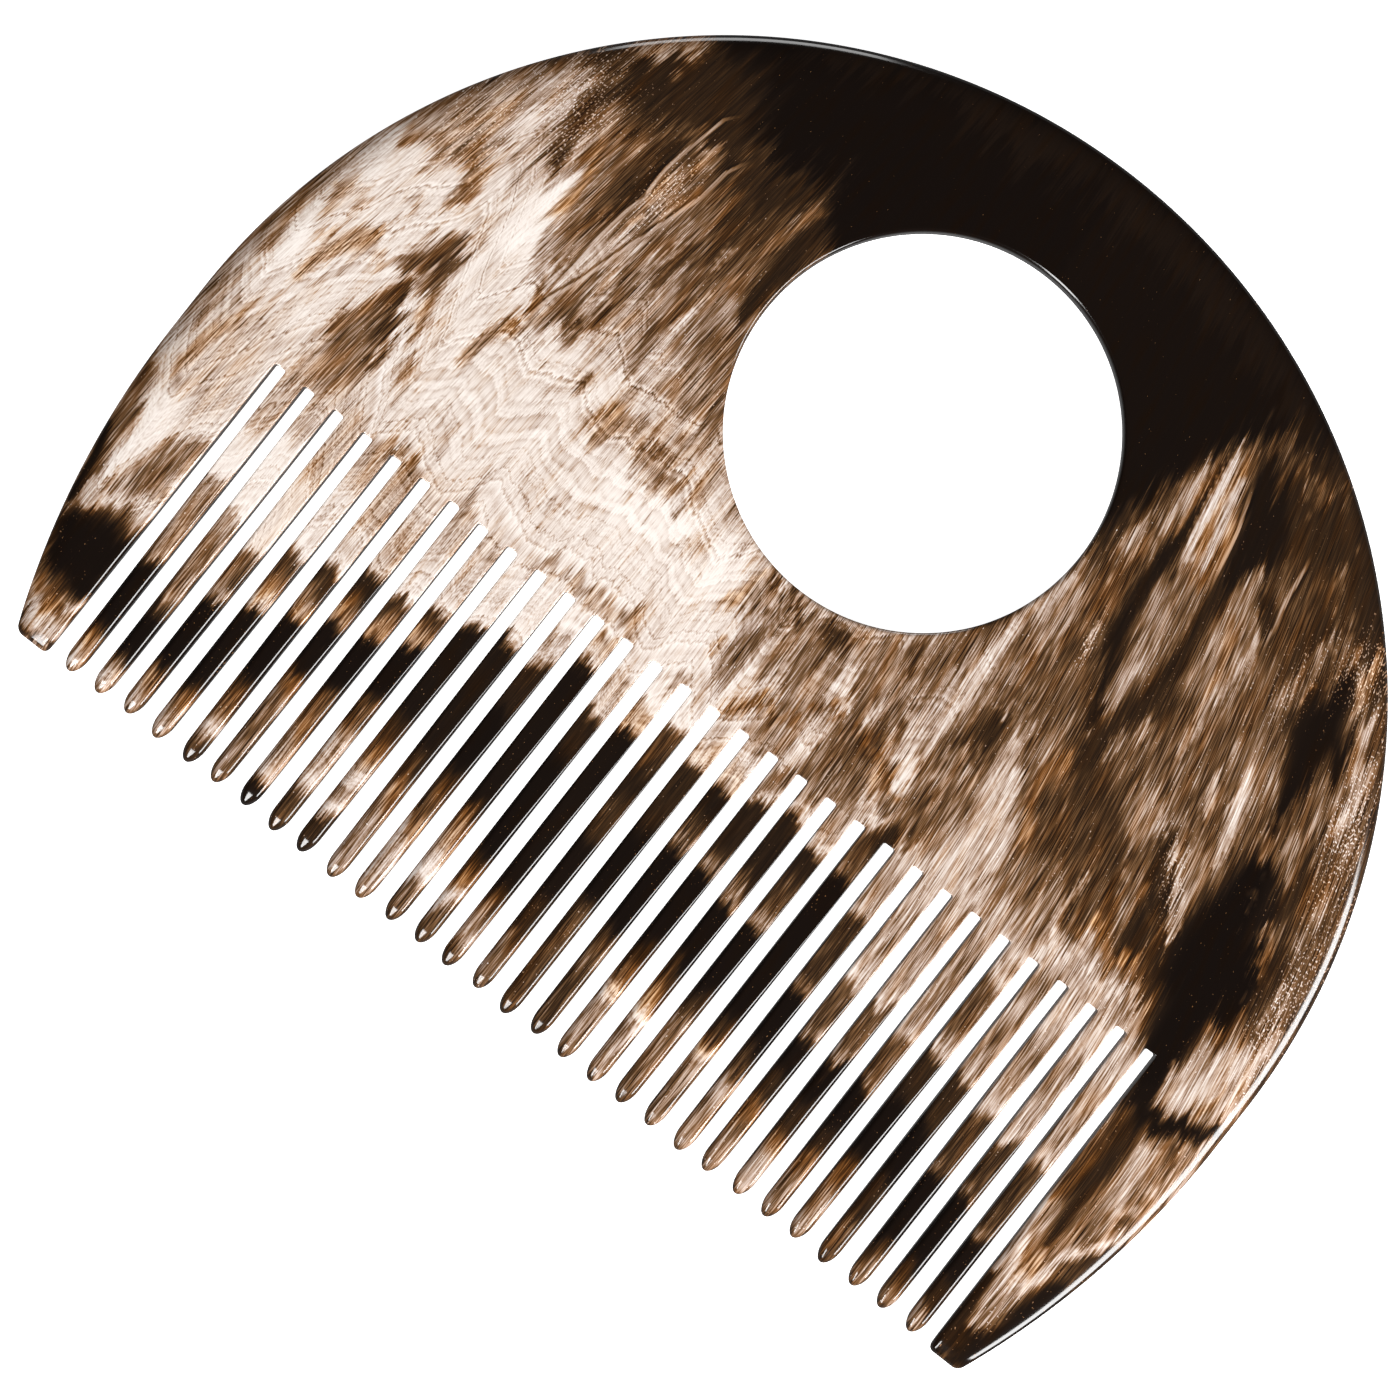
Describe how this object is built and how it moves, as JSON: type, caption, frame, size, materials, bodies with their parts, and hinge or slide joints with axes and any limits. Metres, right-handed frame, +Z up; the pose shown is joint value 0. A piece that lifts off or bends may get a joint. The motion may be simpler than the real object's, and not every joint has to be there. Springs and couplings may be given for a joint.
{
  "type": "horn comb",
  "caption": "Flat hair comb sawn from a plate of polished horn, with a round back, a round thumb hole and fine teeth between broad guards.",
  "frame": {"origin": "middle of the bounding box on the underside, on the surface that the comb lies on", "axes": "+X along the comb's width, +Y from the tooth tips towards the round back, +Z up out of the face"},
  "size_m": [0.116, 0.0916, 0.0035],
  "materials": {
    "horn": "polished"
  },
  "bodies": {
    "root": {"comb": "horn"}
  },
  "joints": []
}
